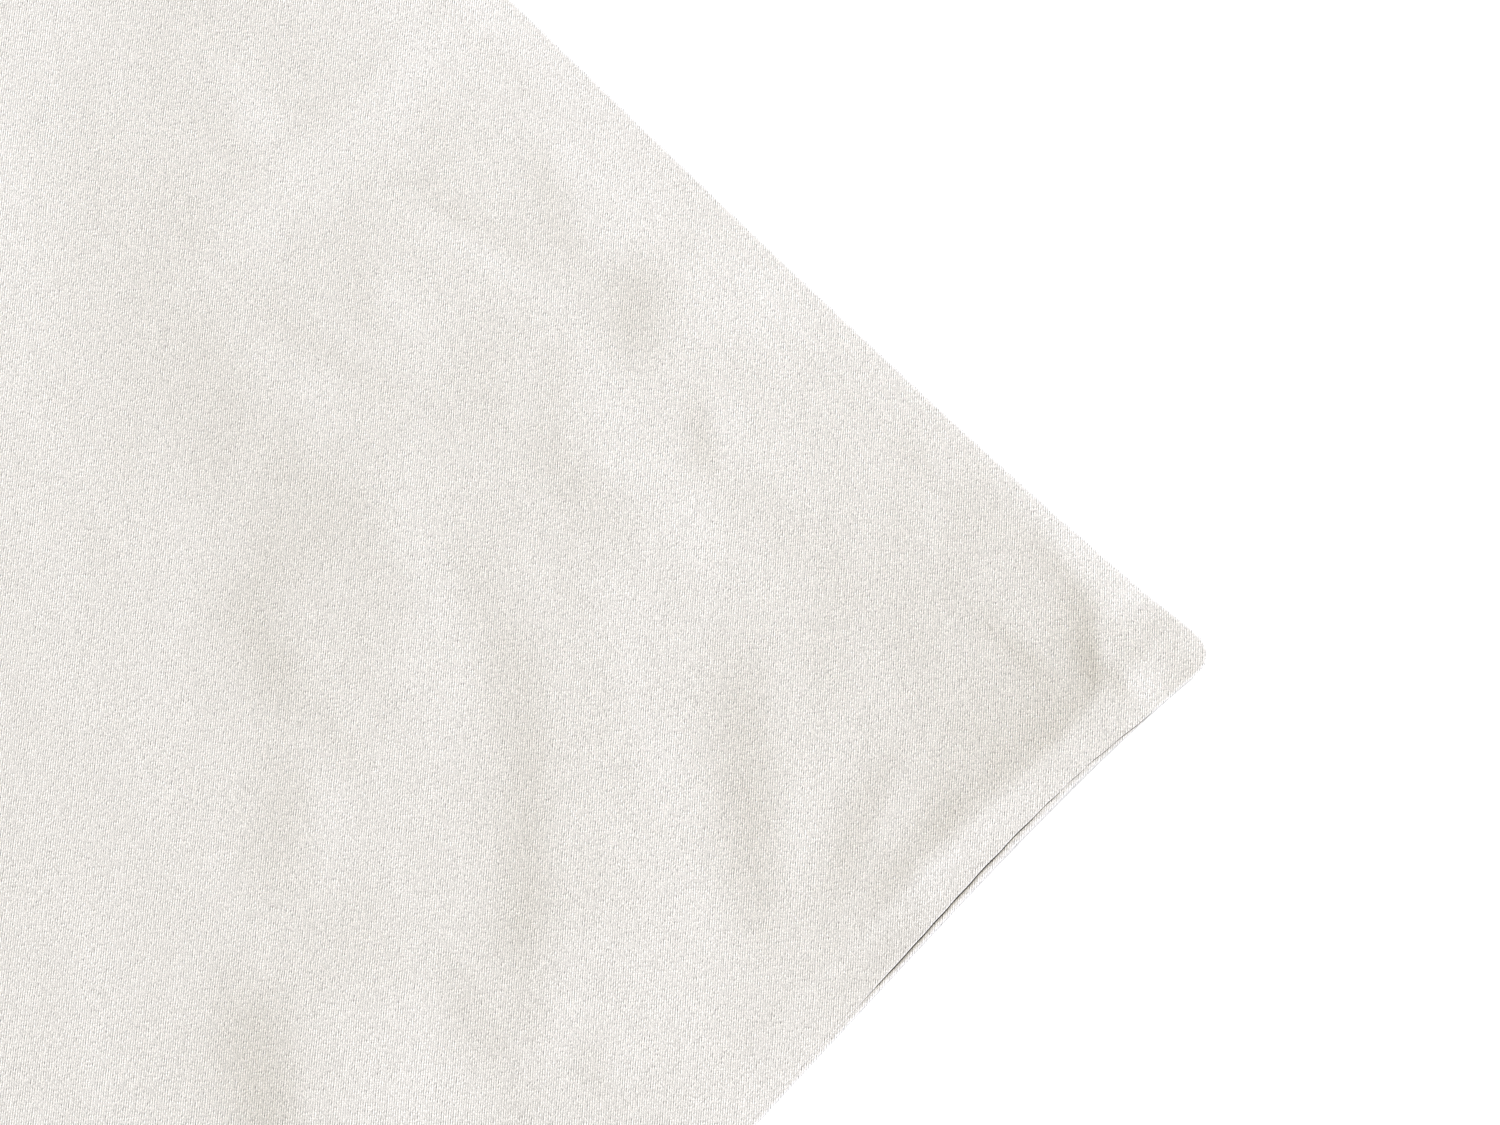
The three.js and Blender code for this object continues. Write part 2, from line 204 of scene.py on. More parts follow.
BROAD_FOLDS = [
    (300, 60, 250, 330, 40, 60, 5, 15),
    (420, 120, 560, 480, 70, 45, 8, -25),
    (640, 60, 700, 300, 45, 60, 6, 10),
    (860, 90, 760, 420, 60, 80, 8, 25),
    (1060, 70, 1180, 330, 50, 70, 7, -15),
    (1290, 90, 1080, 420, 45, 75, 8, 20),
    (120, 300, 60, 640, 50, 40, 6, 12),
    (330, 420, 190, 800, 75, 50, 9, -25),
    (560, 560, 420, 1000, 60, 85, 10, 35),
    (820, 500, 900, 860, 80, 55, 8, 30),
    (1180, 480, 1020, 860, 60, 80, 9, -30),
    (1310, 560, 1290, 900, 40, 50, 6, 8),
    (700, 840, 1000, 960, 55, 70, 7, -20),
    (260, 900, 120, 1250, 60, 45, 8, 18),
    (620, 1000, 560, 1330, 70, 60, 8, -22),
    (900, 1060, 1130, 1290, 75, 60, 9, 24),
    (1280, 1000, 1230, 1380, 50, 55, 7, 12),
    (400, 1180, 330, 1500, 60, 70, 8, 16),
    (780, 1240, 700, 1560, 65, 80, 9, -20),
    (1040, 1420, 1180, 1700, 60, 70, 8, 18),
    (150, 1420, 90, 1760, 50, 45, 6, -10),
    (330, 1600, 520, 1900, 80, 60, 5, 15),
    (900, 1640, 880, 1930, 90, 70, 5, -10),
    (1320, 1560, 1300, 1900, 45, 50, 5, 6),
]

# Chance unevenness of the cloth. Most waves run within way_spread of way, in radians.
CHANCE_WAVES = dict(seed=3, count=60, shortest=5, longest=36, slope=0.014, way=1.05, way_spread=0.5)

# ---------------------------------------------------------------- light, view and colour
VIEW_AZIMUTH = 45.0
VIEW_ELEVATION = 78.0
VIEW_DISTANCE = 563.0
VIEW_TARGET = (617.55, 946.75, 0.0)
VIEW_CLIP = (0.01, 100.0)  # in metres
LENS = 65.0

SUN_TOWARDS = (0.643, 0.766)  # where the light comes from, seen from above
SUN_ELEVATION = 30.0
SUN_STRENGTH = 3.82
SUN_COLOUR = (0.945, 1.0, 1.18)
SUN_SPREAD = 50.0
SKY_STRENGTH = 0.44
SKY_COLOUR = (1.07, 1.0, 0.76)
WHITE = (1.0, 1.0, 1.0, 1.0)

FLOOR_REACH = 12.0  # in metres, from its middle to a side
FLOOR_COLOUR = (0.8, 0.8, 0.8, 1.0)
FLOOR_GLOW = 0.35  # so that the camera sees it white

COTTON = (0.823, 0.791, 0.753)
THREADS_PER_METRE = dict(X=3200.0, Y=2800.0)  # counted along X, and along Y
THREAD_SEEDS = dict(X=3.0, Y=7.0)
THREAD_DRIFT = dict(scale=140.0, threads=1.2)  # how far threads stray from straight lines
CRIMP = 0.45  # how much lower a thread is between two crossings, as a share of its height
LOWER_THREADS = 0.45  # height of the threads that run along X, with the others at 1
PAINTED_LIT_SIDE_OFFSET = -0.15  # with the chance number, how strong each crossing's painted highlight and shade are
PAINTED_GAP_SHADE_RARITY = 5.0  # the higher, the fewer gaps between threads get dark specks of painted shade
SLUB_SCALES = ((2600.0, 220.0, 300.0), (220.0, 2300.0, 300.0))  # of noise drawn out along threads
FUZZ_SCALE = 4600.0
# What each part of the pattern adds to the tone by which the cotton's colour is multiplied.
# The weave's part is painted shade: the cloth is darker where its threads lie low.
TONE = dict(base=0.94, weave=0.12, painted_lit_side=0.55, uneven=0.12, painted_gap_shade=-0.34, slub=0.08, fuzz=0.8)
# Painted shade: the tone falls to To_Min where the cloth stands upright, by the upward part of its
# normal.
UPRIGHT_PAINTED_SHADE = dict(From_Min=0.1, From_Max=0.85, To_Min=0.72)
RELIEF = dict(slub=0.8, fuzz=0.4)  # the heights of slubs and fuzz, with the weave's at 1
COTTON_BUMP = dict(Strength=0.5, Distance=0.00008)
COTTON_SURFACE = dict(
    Roughness=0.9, Specular_IOR_Level=0.12, Sheen_Weight=0.08, Sheen_Roughness=0.5
)

TWIST_SCALE = (6000.0, 9000.0, 6000.0)
THREAD_TONE = dict(base=0.82, twist=0.3)
THREAD_BUMP = dict(Strength=0.4, Distance=0.00005)
THREAD_SURFACE = dict(Roughness=0.6, Specular_IOR_Level=0.3)


# ---------------------------------------------------------------- the cloth's shape
def smooth_step(low, high, value):
    """Rises smoothly from 0 at low to 1 at high."""
    t = np.clip((value - low) / (high - low), 0.0, 1.0)
    return t * t * (3.0 - 2.0 * t)


def mix(low, high, share):
    """Between low, at a share of 0, and high, at 1."""
    return low + (high - low) * share


def swelling(at, spread, s):
    """A rounded swelling, 1 at its middle, s along an edge or in from it."""
    return np.exp(-(((s - at) / spread) ** 2))


def edge_inset(edge, s):
    """How far an edge lies inside the straight line between its corners, s along it."""

    def drawn(distance):
        return distance / edge["reach"] * np.exp(1 - distance / edge["reach"])

    middle = np.sin(np.pi * s / edge["length"])
    wander = np.sin(2 * np.pi * edge["waves"] * s / edge["length"]) * middle**2
    both = drawn(s) + drawn(edge["length"] - s)
    return edge["draw_in"] * both - edge["bow"] * middle + edge["wander"] * wander


def side_roll(s):
    """How far the back panel's side edge stands out past the front one's, s from a corner."""
    swell = swelling(SIDE_ROLL["at"], SIDE_ROLL["spread"], s)
    width = mix(SIDE_ROLL["usual"], SIDE_ROLL["most"], swell)
    shift = SEAM_RIPPLE["shift"] * np.sin(s / SEAM_RIPPLE["shift_run"])
    ripple = np.sin(2 * np.pi * s / SEAM_RIPPLE["pitch"] + shift)
    sway = SEAM_RIPPLE["sway"] * smooth_step(*SEAM_RIPPLE["comes"], s)
    sway *= 1 - smooth_step(*SEAM_RIPPLE["goes"], s)
    return width * smooth_step(SIDE_ROLL["start"], SIDE_ROLL["end"], s) + sway * ripple


def folds_height(folds, u, v):
    """The height of a list of folds, each full half-way along its crest."""
    total = np.zeros_like(u)
    for row in folds:
        fold = dict(zip(FOLD_COLUMNS, row))
        length = math.hypot(fold["u1"] - fold["u0"], fold["v1"] - fold["v0"])
        du = (fold["u1"] - fold["u0"]) / length
        dv = (fold["v1"] - fold["v0"]) / length
        along = ((u - fold["u0"]) * du + (v - fold["v0"]) * dv) / length
        share = np.clip(along, 0.0, 1.0)
        across = (v - fold["v0"]) * du - (u - fold["u0"]) * dv
        across = across - 4 * fold["bow"] * share * (1 - share)
        fall_off = (across / np.where(across > 0, fold["left"], fold["right"])) ** 2
        fading = FADE * np.abs(2 * along - 1) ** 3
        total += fold["height"] * np.exp(-fall_off - fading)
    return total


def waves_height(u, v, seed, count, shortest, longest, slope, way, way_spread):
    """Soft chance unevenness: many sine waves, most of them running the way the folds do."""
    random = np.random.default_rng(seed)
    total = np.zeros_like(u)
    for _ in range(count):
        length = shortest * (longest / shortest) ** random.uniform(0, 1)
        angle = random.normal(way, way_spread)
        start = random.uniform(0, 2 * math.pi)
        phase = 2 * math.pi * (u * math.cos(angle) + v * math.sin(angle)) / length
        total += length * np.sin(phase + start)
    return total * slope / (2 * math.pi * math.sqrt(count))


def within(distance, start, run):
    """1 up to start, then down to 0 over run, ever more gently."""
    return (1 - np.clip((distance - start) / run, 0, 1)) ** 2


def corner_step(u, v):
    """The step down from what is turned in at the side."""
    step = CORNER_STEP
    start = CORNER_SEAM + step["round"] * (1 - smooth_step(*step["rounding_goes"], v))
    height = step["height"] * within(u, start, step["run"])
    height *= mix(step["least"], 1, smooth_step(*step["full"], v))
    growth = 1 + step["growth"] * smooth_step(*step["grows"], v)
    return height * (growth * np.exp(-((v / step["until"]) ** 6)))


def edge_dip(u, v):
    """How much lower the panel's very edge is. Further down the side it turns into a rise."""
    dip = EDGE_DIP
    course = smooth_step(*dip["comes"], v) - dip["turn"] * smooth_step(*dip["turns"], v)
    course += dip["back"] * smooth_step(*dip["ends"], v)
    return dip["depth"] * (1 - smooth_step(dip["beside"], CORNER_SEAM, u)) * course


def knoll(u, v):
    """The round rise over what is turned in. Close to the side it starts nearer the head."""
    lead = KNOLL["lead"] * (1 - smooth_step(*KNOLL["lead_beside"], u))
    present = smooth_step(*KNOLL["comes"], v + lead) * (1 - smooth_step(*KNOLL["goes"], v))
    return KNOLL["height"] * within(u, CORNER_SEAM, KNOLL["run"]) * present


def shelf(u, v):
    """The longer, flatter rise along the head."""
    present = smooth_step(*SHELF["comes"], v) - smooth_step(*SHELF["goes"], v)
    return SHELF["height"] * (1 - smooth_step(*SHELF["goes_beside"], u)) * present


def corner_rise(u, v):
    """How far what is turned in props the front panel up round its right-hand head corner."""
    tip = TIP["height"] * np.exp(-(u**2 + v**2) / TIP["reach_squared"])
    return corner_step(u, v) - edge_dip(u, v) + knoll(u, v) + shelf(u, v) + tip


def mouth_share(x, from_foot):
    """How far the mouth stands open over a point, from 0 to 1."""
    across = 1 - smooth_step(MOUTH_ROOF, MOUTH_HALF_WIDTH, np.abs(x))
    return across * (1 - smooth_step(MOUTH_DEPTH, MOUTH_DEPTH + MOUTH_RUN, from_foot))


def distances(u, v):
    """How far points are in from any edge, and from a sewn one, and whether they face the mouth."""
    at_mouth = np.abs(WIDTH / 2 - u) < MOUTH_HALF_WIDTH
    from_sewn = np.minimum(np.minimum(u, v), WIDTH - u)
    from_edge = np.minimum(from_sewn, LENGTH - v)
    return from_edge, np.where(at_mouth, from_sewn, from_edge), at_mouth


def ditch_share(s):
    """How far the plain turned edge gives way to the sides of the seam's ditch, s from a corner."""
    return smooth_step(*DITCH["starts"], s)


def ditch_side(s):
    """The width of the ditch's rounded outer side."""
    swell = swelling(DITCH_SIDES["at"], DITCH_SIDES["spread"], s)
    return mix(DITCH_SIDES["narrow"], DITCH_SIDES["wide"], swell)


def pulled_open(s):
    """How far the seam is pulled open: wholly from 68 to 88 mm along the side, less around that."""
    return smooth_step(*DITCH["opens"], s) * (1 - smooth_step(*DITCH["closes"], s))


def ditch_depth(s):
    """How far the ditch lies below the front panel's edge."""
    return mix(DITCH["shallow"], DITCH["deep"], pulled_open(s))


def edge_drop(from_edge, reach, depth):
    """How far a rounded edge lies under its level part: a quarter of an ellipse."""
    return depth * (1 - np.sqrt(1 - (1 - np.clip(from_edge / reach, 0.0, 1.0)) ** 2))


def turned_rise(from_sewn, from_foot, at_mouth):
    """How far what is turned in lifts the front panel, less the dimple along the hem's stitches."""
    sewn = 1 - smooth_step(ALLOWANCE - STEP_LEAD, ALLOWANCE + ALLOWANCE_STEP, from_sewn)
    hemmed = 1 - smooth_step(HEM - STEP_LEAD, HEM + HEM_STEP, from_foot)
    rise = ALLOWANCE_RISE * sewn + HEM_RISE * np.where(at_mouth, hemmed, 0.0)
    dimple = swelling(HEM_STITCHES, STITCH_DIMPLE["spread"], from_foot)
    return rise - STITCH_DIMPLE["depth"] * dimple * at_mouth


def front_height(u, v):
    """The front panel's upper surface."""
    from_edge, from_sewn, at_mouth = distances(u, v)
    from_foot = LENGTH - v
    s = np.minimum(v, from_foot)
    drop = edge_drop(
        from_edge,
        mix(ROLL, DITCH_SIDES["inner"], ditch_share(s)),
        mix(ROLL, ditch_depth(s), ditch_share(s)),
    )
    loose = smooth_step(0, LOOSE_REACH, from_sewn)
    held = smooth_step(0, BROAD_REACH, from_sewn)
    fold_u, fold_v = lying(u, v)
    rise = corner_rise(fold_u, fold_v)
    turned = turned_rise(from_sewn, from_foot, at_mouth)
    rumpled = folds_height(CORNER_FOLDS + CORNER_CREASES, fold_u, fold_v)
    rumpled += held * folds_height(BROAD_FOLDS, fold_u, fold_v)
    rumpled += waves_height(fold_u, fold_v, **CHANCE_WAVES)
    air = AIR * np.prod([1 - np.exp(-near / AIR_REACH) for near in (u, WIDTH - u, v)], axis=0)
    mouth = MOUTH_RISE * mouth_share(WIDTH / 2 - u, from_foot)
    return FRONT_TOP - drop + air + loose * rumpled + rise + turned + mouth


def back_height(u, v):
    """The back panel's lower surface, on the floor."""
    from_edge, _, _ = distances(u, v)
    s = np.minimum(v, LENGTH - v)
    rise = mix(ROLL, DITCH["deep"], ditch_share(s))
    return FLOOR_GAP + edge_drop(from_edge, ROLL, rise)


def round_corner(du, dv):
    """Pulls the square corner of distances in from two edges on to a round one."""
    a, b = CORNER_RADIUS - du, CORNER_RADIUS - dv
    inside = (a > 0) & (b > 0)
    spread = np.where(inside, np.hypot(a, b), 1.0)
    shrink = np.where(inside, np.maximum(a, b) / spread, 1.0)
    return CORNER_RADIUS - a * shrink, CORNER_RADIUS - b * shrink


def place(u, v, is_front):
    """The x and y of points, with the edges' true shape and round corners."""
    au, av = round_corner(np.minimum(u, WIDTH - u), np.minimum(v, LENGTH - v))
    right, head = u <= WIDTH / 2, v <= LENGTH / 2
    along_side = np.where(right, v, LENGTH - v)
    along_end = np.where(head, u, WIDTH - u)
    side_drop = edge_inset(SIDE_EDGE, along_side)
    end_drop = edge_inset(END_EDGE, along_end)
    if is_front:
        side_drop = side_drop + side_roll(np.minimum(v, LENGTH - v))
    else:
        end_drop = end_drop + HEAD_ROLL
    x = (WIDTH / 2 - au) * (1 - 2 * side_drop / WIDTH)
    y = (LENGTH / 2 - av) * (1 - 2 * end_drop / LENGTH)
    return np.where(right, x, -x), np.where(head, y, -y)


def lying(u, v):
    """Where points of the front lie, in from the straight lines between the corners."""
    x, y = place(u, v, True)
    return WIDTH / 2 - x, LENGTH / 2 - y


# ---------------------------------------------------------------- meshes
QUARTER = np.linspace(0.0, math.pi / 2, 6)  # the angles at which a rounded edge has its lines
EDGE_LINES = [ROLL * (1 - math.cos(turn)) for turn in QUARTER]
TURNED_IN_SHARES = dict(front=(0.25, 0.6, 1.0), back=(0.3, 1.0))  # lines along what is turned in
ROUNDING_ERROR = 1e-6  # adds no line

# How a panel's lines are spaced. Each zone says how far in from its edge it ends, and how far apart
# its lines are. Between the zones of two edges the lines are as far apart as across or down says.
PLAIN_SEAM = [(2.0, 0.5), (14.0, 2.0)]
FINE_SEAM = [(2.0, 0.5), (24.0, 1.0)]
FRONT_LINES = dict(
    right=FINE_SEAM + [(300.0, 1.6)],
    across=18.0,
    left=PLAIN_SEAM,
    head=FINE_SEAM + [(60.0, 1.2), (250.0, 1.6)],
    down=18.0,
    foot=PLAIN_SEAM + [(20.0, 3.0), (30.0, 1.0), (40.0, 5.0)],
)
BACK_LINES = dict(
    right=PLAIN_SEAM + [(30.0, 8.0)],
    across=30.0,
    left=PLAIN_SEAM,
    head=PLAIN_SEAM + [(120.0, 1.2), (250.0, 3.0)],
    down=25.0,
    foot=PLAIN_SEAM + [(40.0, 5.0)],
)


def lines_from_edge(zones):
    """Lines in from an edge, first round it and then spaced as the zones say."""
    lines = list(EDGE_LINES)
    for until, spacing in zones:
        count = math.ceil((until - lines[-1]) / spacing - ROUNDING_ERROR)
        start = lines[-1]
        lines += [start + (until - start) * i / count for i in range(1, count + 1)]
    return lines


def lines_between(zones, spacing, end_zones, span):
    """Lines across a span: by zones from its start, by end_zones from its end, and between them."""
    start = lines_from_edge(zones + [(span - end_zones[-1][0], spacing)])
    end = [span - line for line in lines_from_edge(end_zones)]
    return np.array(start + end[::-1][1:])


def sheet_mesh(name, lines, is_front):
    """A panel as one open surface: its face, its rolled edge, and what is turned in behind it."""
    u_lines = lines_between(lines["right"], lines["across"], lines["left"], WIDTH)
    v_lines = lines_between(lines["head"], lines["down"], lines["foot"], LENGTH)
    u, v = np.meshgrid(u_lines, v_lines)
    rows, columns = u.shape
    x, y = place(u, v, is_front)
    z = front_height(u, v) if is_front else back_height(u, v)
    points = np.column_stack([x.ravel(), y.ravel(), z.ravel()])
    number = np.arange(rows * columns).reshape(rows, columns)
    quads = np.stack([number[:-1, :-1], number[:-1, 1:], number[1:, 1:], number[1:, :-1]], axis=-1)
    rim = np.concatenate([number[0, :-1], number[:-1, -1], number[-1, :0:-1], number[:0:-1, 0]])
    turned_points, turned_quads = turned_edge(points, u.ravel()[rim], v.ravel()[rim], rim, is_front)
    faces = np.concatenate([quads.reshape(-1, 4), turned_quads])
    if not is_front:
        faces = faces[:, ::-1]
    return make_object(name, np.concatenate([points, turned_points]) * MM, faces)


def turned_edge(points, u, v, rim, is_front):
    """Rings of points behind the rim: round the edge, and then along what is turned in."""
    edge = points[rim]
    along = np.roll(edge, -1, axis=0) - np.roll(edge, 1, axis=0)
    inward = np.column_stack([-along[:, 1], along[:, 0]])
    inward /= np.linalg.norm(inward, axis=1)[:, None]
    section = front_turned_in if is_front else back_turned_in
    made = []
    for offset, height in section(u, v, edge[:, 2]):
        xy = edge[:, :2] + inward * offset[:, None]
        if callable(height):
            height = height(xy)
        made.append(np.column_stack([xy, height]))
    count = len(rim)
    first = len(points)
    loops = [rim] + [first + count * i + np.arange(count) for i in range(len(made))]
    quads = []
    for outer, inner in zip(loops, loops[1:]):
        quads.append(np.column_stack([np.roll(outer, -1), outer, inner, np.roll(inner, -1)]))
    return np.concatenate(made), np.concatenate(quads)


def below_front(xy):
    """The height close under the front panel, at points kept in from its rounded edges."""
    margin = 3 * ROLL
    u = np.clip(WIDTH / 2 - xy[:, 0], margin, WIDTH - margin)
    v = np.clip(LENGTH / 2 - xy[:, 1], margin, LENGTH - margin)
    return front_height(u, v) - 2 * ROLL


def front_turned_in(u, v, rim_height):
    """Offsets in from the front's rim, and heights: under the edge, then close under the panel.

    A sewn edge turns down to the seam. At the mouth the hem stays up with the panel.
    """
    under = np.where(rim_at_mouth(u, v), rim_height - ROLL, FRONT_TOP - 2 * ROLL)
    depth = turned_depth(u, v)
    for turn in QUARTER[1:]:
        offset = ROLL * (1 - math.cos(turn))
        yield np.full(len(u), offset), rim_height - (rim_height - under) * math.sin(turn)
    for share in TURNED_IN_SHARES["front"]:
        yield ROLL + (depth - ROLL) * share, below_front


def back_turned_in(u, v, rim_height):
    """The same for the back: up round the edge, over its crest and down into the ditch."""
    s = np.minimum(v, LENGTH - v)
    at_side = (np.minimum(u, WIDTH - u) < ON_RIM) & (s > ON_RIM)
    share = ditch_share(s) * at_side
    width = side_roll(s)
    gap = mix(BACK_RIM["closed"], BACK_RIM["opened"], pulled_open(s))
    crest = mix(ROLL, BACK_RIM["crest"] * width, share)
    lift = corner_rise(*lying(np.zeros_like(u), v)) * at_side * (u < WIDTH / 2)
    top = mix(BACK_TOP, FRONT_TOP - BACK_RIM["lower"], share) + lift
    floor = mix(BACK_TOP, top - ditch_depth(s), share)
    foot = mix(crest + BACK_RIM["side"], width - gap, share)
    fall = np.minimum(mix(BACK_RIM["side"], ditch_side(s), share), foot - crest)
    level = np.full(len(u), BACK_TOP)
    for turn in QUARTER[1:]:
        yield crest * (1 - math.cos(turn)), rim_height + (top - rim_height) * math.sin(turn)
    for turn in QUARTER:
        offset = foot - fall + fall * math.sin(turn)
        yield offset, top - (top - floor) * (1 - math.cos(turn))
    yield foot + BACK_RIM["slant"], level
    for part in TURNED_IN_SHARES["back"]:
        yield foot + (turned_depth(u, v) - foot) * part, level


def rim_at_mouth(u, v):
    """Whether points of the rim are on the mouth's edge."""
    return (v > LENGTH - ON_RIM) & (np.abs(WIDTH / 2 - u) < MOUTH_HALF_WIDTH)


def turned_depth(u, v):
    """How far the cloth is turned in behind each rim point, trimmed back at the corners."""
    from_corner = np.hypot(np.minimum(u, WIDTH - u), np.minimum(v, LENGTH - v))
    trimmed = TRIM["least"] + TRIM["slope"] * np.maximum(from_corner - CORNER_RADIUS, 0)
    return np.where(rim_at_mouth(u, v), HEM, np.minimum(ALLOWANCE, trimmed))


def make_object(name, points, faces):
    """A smooth mesh object, in metres."""
    mesh = bpy.data.meshes.new(name)
    mesh.from_pydata(points.tolist(), [], faces.tolist())
    mesh.update()
    mesh.shade_smooth()
    thing = bpy.data.objects.new(name, mesh)
    bpy.context.scene.collection.objects.link(thing)
    return thing


# ---------------------------------------------------------------- stitches
THREAD_SIDES = 6
# Along a stitch: the share of its length, and its thickness and rise as shares of the greatest.
STITCH_SHAPE = [
    (0.0, 0.55, 0.0),
    (0.2, 0.95, 0.7),
    (0.5, 1.0, 1.0),
    (0.8, 0.95, 0.7),
    (1.0, 0.55, 0.0),
]


def stitches(name, starts, ends, bow):
    """Short tubes from start to end, each bowed up in its middle, joined into one mesh."""
    turns = np.arange(THREAD_SIDES) * 2 * math.pi / THREAD_SIDES
    along = ends - starts
    along /= np.linalg.norm(along, axis=1)[:, None]
    up = np.array([0.0, 0.0, 1.0])
    across = np.cross(along, up)
    across /= np.linalg.norm(across, axis=1)[:, None]
    normal = np.cross(across, along)
    points = []
    for share, thickness, rise in STITCH_SHAPE:
        centre = starts + (ends - starts) * share + up * (rise * bow)
        radius = thickness * THREAD / 2
        for turn in turns:
            points.append(centre + radius * (math.cos(turn) * across + math.sin(turn) * normal))
    side = np.arange(THREAD_SIDES)
    after = np.roll(side, -1)
    ring = np.column_stack([side, after, after + THREAD_SIDES, side + THREAD_SIDES])
    rings = THREAD_SIDES * np.arange(len(STITCH_SHAPE) - 1)
    tube = (ring + rings[:, None, None]).reshape(-1, 4)
    tubes = len(points) * np.arange(len(starts))
    faces = (tube + tubes[:, None, None]).reshape(-1, 4)
    return make_object(name, np.stack(points, axis=1).reshape(-1, 3) * MM, faces)


def hem_stitch_rows():
    """The stitches that hold the mouth's hems down, on both panels."""
    reach = MOUTH_HALF_WIDTH - STITCH_MARGIN
    begin = np.arange(-reach, reach, STITCH_PITCH) + WIDTH / 2
    v = np.full(len(begin), LENGTH - HEM_STITCHES)
    ends = []
    for u in (begin, begin + STITCH_PITCH * STITCH_SHARE):
        on_panels = []
        for is_front in (True, False):
            x, y = place(u, v, is_front)
            z = front_height(u, v) if is_front else np.full(len(u), BACK_TOP)
            on_panels.append(np.column_stack([x, y, z + THREAD * STITCH_BASE]))
        ends.append(np.concatenate(on_panels))
    return stitches("hem_stitches", *ends, THREAD * STITCH_BOW)


# ---------------------------------------------------------------- materials
class Nodes:
    """Small helper to write a material's sums one below the other."""

    def __init__(self, material):
        material.use_nodes = True
        self.tree = material.node_tree
        self.tree.nodes.clear()

    def add(self, kind, **inputs):
        """A node with its inputs linked or set. A socket's spaces are written as underscores."""
        node = self.tree.nodes.new(kind)
        for name, value in inputs.items():
            self.connect(value, node.inputs[name.replace("_", " ")])
        return node

    def connect(self, value, socket):
        """Links an output to a socket, or sets the socket to a plain value."""
        if isinstance(value, bpy.types.NodeSocket):
            self.tree.links.new(value, socket)
        else:
            socket.default_value = value

    def math(self, operation, *values):
        """The result of one sum."""
        node = self.tree.nodes.new("ShaderNodeMath")
        node.operation = operation
        for value, socket in zip(values, node.inputs):
            self.connect(value, socket)
        return node.outputs[0]

    def noise(self, vector, scale, detail=2.0):
        """Noise around 0.5."""
        node = self.add("ShaderNodeTexNoise", Vector=vector, Scale=scale, Detail=detail)
        return node.outputs["Fac"]

    def stretched_noise(self, vector, scales, detail=2.0):
        """Noise with a scale of its own along each axis."""
        stretched = self.add("ShaderNodeMapping", Vector=vector, Scale=scales)
        return self.noise(stretched.outputs["Vector"], 1.0, detail)

    def seen_directly(self):
        """1 for what the camera sees, also through glass or in a reflection, and 0 for light."""
        seen = self.add("ShaderNodeLightPath").outputs
        direct = self.math("MAXIMUM", seen["Is Camera Ray"], seen["Is Glossy Ray"])
        return self.math("MAXIMUM", direct, seen["Is Transmission Ray"])

    def finish(self, surface, output="ShaderNodeOutputMaterial"):
        """Makes a shader the surface of the material or the world."""
        self.add(output, Surface=surface.outputs[0])

    def finish_cloth(self, tone, height, bump, surface):
        """Cotton of that tone, with that height as bump."""
        colour = self.add("ShaderNodeVectorMath")
        colour.operation = "SCALE"
        colour.inputs[0].default_value = COTTON
        self.connect(tone, colour.inputs["Scale"])
        relief = self.add("ShaderNodeBump", Height=height, **bump)
        shader = self.add("ShaderNodeBsdfPrincipled", **surface)
        self.connect(colour.outputs["Vector"], shader.inputs["Base Color"])
        self.connect(relief.outputs["Normal"], shader.inputs["Normal"])
        self.finish(shader)


